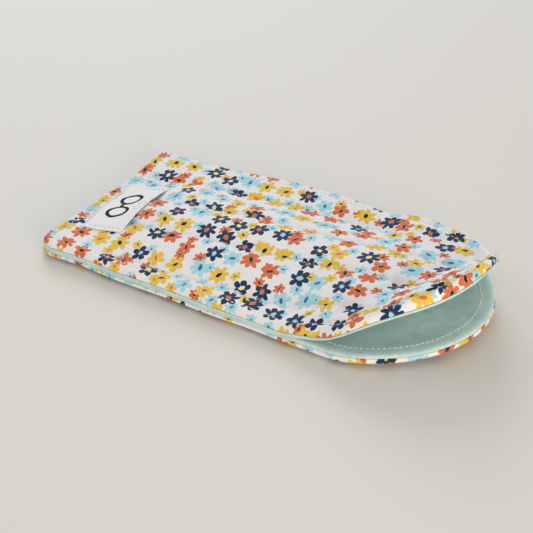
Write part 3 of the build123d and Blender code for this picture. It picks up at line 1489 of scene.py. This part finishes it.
@dataclass
class SewnLabel:
    """White tape label near the closed end, sewn down across its two short ends."""

    panel: QuiltedPanel
    tape_finish: bpy.types.Material
    thread_finish: bpy.types.Material
    width: float = 18.0
    length: float = 39.0
    from_end: float = 19.0
    y: float = -6.0
    turn: float = 5.0
    tape_t: float = 0.5
    off: float = 0.25
    sag_share: float = 0.22
    stitch_inset: float = 2.2
    stitch_sink: float = 0.25
    stitch_pull: float = 0.3
    side_slack: float = 0.25

    def place(self, u: Array, v: Array) -> tuple[Array, Array]:
        """Turns places on the label to the case's plan.

        Args:
            u: places across the tape.
            v: places along the tape.

        Returns:
            Places along the case and across it.
        """
        a = math.radians(self.turn)
        x = -self.panel.form.half_l + self.from_end + u * math.cos(a) - v * math.sin(a)
        return x, self.y + u * math.sin(a) + v * math.cos(a)

    def height(self, x: Array, y: Array) -> Array:
        """Height of the tape's top, which bridges the puffs and hardly follows the valleys.

        Args:
            x: places along the case.
            y: places across the case.

        Returns:
            Millimetres above the table.
        """
        panel = self.panel
        smooth_top = panel.lining_side(x, y) + panel.thickness(x, y, relief=False)
        return smooth_top + self.sag_share * panel.quilting(x, y) + self.off + self.tape_t

    def build(self) -> list[bpy.types.Object]:
        """Builds the tape and its two rows of stitches.

        Returns:
            The three pieces.
        """
        u, v = np.meshgrid(
            np.linspace(-self.width / 2, self.width / 2, 31),
            np.linspace(-self.length / 2, self.length / 2, 61),
            indexing="ij",
        )
        x, y = self.place(u, v)
        from_side = self.width / 2 - np.abs(u)
        from_short = self.length / 2 - np.abs(v)
        # The long sides aren't sewn, so they stand off a little; each row of stitches pulls the tape down.
        slack = self.side_slack * (1 - smooth(from_side / 4)) * smooth(from_short / 8)
        pulled = -self.stitch_pull * dip(from_short - self.stitch_inset, 1.0)
        high = self.height(x, y) + slack + TAPE_UNEVEN.at(x, y) + pulled
        printed = np.stack([v, -u], -1)
        tape = closed_sheet("label_tape", Grid(x, y), high - self.tape_t, high, (printed, printed))
        tape.data.materials.append(self.tape_finish)
        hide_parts("label")
        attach(tape, "pouch")
        made = [tape]
        across = np.linspace(-self.width / 2 + 1.2, self.width / 2 - 1.2, 30)
        for end, sign in (("near", -1), ("far", 1)):
            row_x, row_y = self.place(across, np.full(30, sign * (self.length / 2 - self.stitch_inset)))
            row = StitchRow(
                f"label_{end}_stitches",
                f"label_stitching_{end}",
                np.stack([row_x, row_y], -1),
                lambda px, py: self.height(px, py) - self.stitch_sink,
                self.thread_finish,
                gap=0.7,
                radius=0.2,
            ).build()
            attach(row, "pouch")
            made.append(row)
        log.info("label: %.0f by %.0f mm", self.width, self.length)
        return made


# ---------------------------------------------------------------- the studio


@dataclass(frozen=True)
class SoftLight:
    """One large square light aimed at the case."""

    name: str
    at: tuple[float, float, float]
    size: float
    watts: float
    colour: str

    def build(self) -> None:
        """Adds the light to the scene."""
        data = bpy.data.lights.new(self.name, "AREA")
        data.shape = "SQUARE"
        data.size = self.size
        data.energy = self.watts
        data.color = linear(self.colour)[:3]
        lamp = bpy.data.objects.new(self.name, data)
        lamp.location = self.at
        lamp.rotation_euler = (-Vector(self.at)).to_track_quat("-Z", "Y").to_euler()
        bpy.context.scene.collection.objects.link(lamp)


@dataclass
class Studio:
    """Pale floor, soft window light from behind and a warm fill, and the camera. Sizes are metres."""

    floor_colour: str = "DCDCDA"
    floor_worn: str = "DEDEDB"
    floor_half: float = 3.0
    floor_z: float = -0.0002  # a hair low, so that it never lies in the plane of the case's underside
    sky_colour: str = "FFFBF4"
    sky: float = 0.58
    eye: tuple[float, float, float] = (0.2552, -0.4019, 0.2988)
    target: tuple[float, float, float] = (0.0035, -0.0143, 0.0100)
    lens: float = 94.6
    sensor: float = 36.0
    lights: tuple[SoftLight, ...] = (
        SoftLight("window", (-1.20, 1.40, 1.05), 1.1, 17.6, "F6F9FF"),
        SoftLight("side_window", (-1.3, -0.5, 1.1), 1.0, 3.0, "F0F5FF"),
        SoftLight("room_bounce", (0.9, -0.55, 0.22), 0.6, 7.5, "FFEBCF"),
    )

    def floor(self) -> bpy.types.Object:
        """Builds the floor.

        Returns:
            The floor, marked as staging.
        """
        half, low = self.floor_half, self.floor_z
        mesh = bpy.data.meshes.new("studio_floor")
        corners = [(-half, -half, low), (half, -half, low), (half, half, low), (-half, half, low)]
        mesh.from_pydata(corners, [], [(0, 1, 2, 3)])
        floor = bpy.data.objects.new("studio_floor", mesh)
        bpy.context.scene.collection.objects.link(floor)
        material, tree, shader = new_material("painted_table")
        place = add_node(tree, "ShaderNodeTexCoord").outputs["Object"]
        noise = add_node(tree, "ShaderNodeTexNoise", inputs={"Vector": place, "Scale": 3.0})
        tone = add_node(
            tree,
            "ShaderNodeMix",
            {"data_type": "RGBA"},
            {0: noise.outputs["Fac"], 6: linear(self.floor_colour), 7: linear(self.floor_worn)},
        )
        tree.links.new(tone.outputs[2], shader.inputs["Base Color"])
        shader.inputs["Roughness"].default_value = 0.6
        shader.inputs["Specular IOR Level"].default_value = 0.2
        mesh.materials.append(material)
        floor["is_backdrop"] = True
        return floor

    def camera(self) -> bpy.types.Object:
        """Builds the camera, looking slightly down along the case.

        Returns:
            The camera.
        """
        data = bpy.data.cameras.new("camera")
        data.lens = self.lens
        data.sensor_width = self.sensor
        data.clip_start = 0.01
        camera = bpy.data.objects.new("camera", data)
        camera.location = self.eye
        camera.rotation_euler = (Vector(self.target) - Vector(self.eye)).to_track_quat("-Z", "Y").to_euler()
        bpy.context.scene.collection.objects.link(camera)
        return camera

    def build(self) -> None:
        """Builds the floor, the lights, the sky and the camera."""
        self.floor()
        for light in self.lights:
            light.build()
        scene = bpy.context.scene
        world = bpy.data.worlds.new("soft_room")
        world.use_nodes = True
        sky = world.node_tree.nodes["Background"]
        sky.inputs["Color"].default_value = linear(self.sky_colour)
        sky.inputs["Strength"].default_value = self.sky
        scene.world = world
        scene.view_settings.view_transform = "Standard"
        scene.camera = self.camera()
        log.info("studio: %d lights", len(self.lights))


def main() -> None:
    """Builds the case round its CAD frame, then the studio."""
    logging.basicConfig(level=logging.INFO, format="%(name)s: %(message)s")
    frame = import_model()
    cad_low, cad_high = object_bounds()
    size = (cad_high - cad_low) / MM
    hinge = next(j for j in frame["joints"] if j["name"] == "front_lip_bend")
    bend = hinge["pos_m"][0] / MM
    form = CaseForm(length=size.x, width=size.y, hinge_x=bend)
    log.info("case %.1f by %.1f by %.1f mm, bends at %.1f", *size, bend)

    printed = PrintedCotton().material()
    # The lining is the coarser cloth, so its weave shows more.
    plain = CottonWeave(yarn_mm=0.7, depth_mm=0.11, strength=0.8)
    lining = DyedCotton("piece_dyed_aqua_cotton", "D6EAEB", "B4D3D5", plain).material()
    fibre = DyedCotton("needled_cotton_wadding", "EFEDE6", "E2DFD6").material()
    thread = SpunThread().material()

    front = QuiltedPanel(form, Face.FRONT, printed, lining, fibre)
    back = QuiltedPanel(form, Face.BACK, printed, lining, fibre)
    front.build("pouch", "front_lip", bend)
    back.build("pouch", "back_lip", bend)
    Stitching(front, back, thread, bend).build()
    SewnLabel(front, PrintedTape().material(), thread).build()
    Studio().build()


if __name__ == "__main__":
    main()
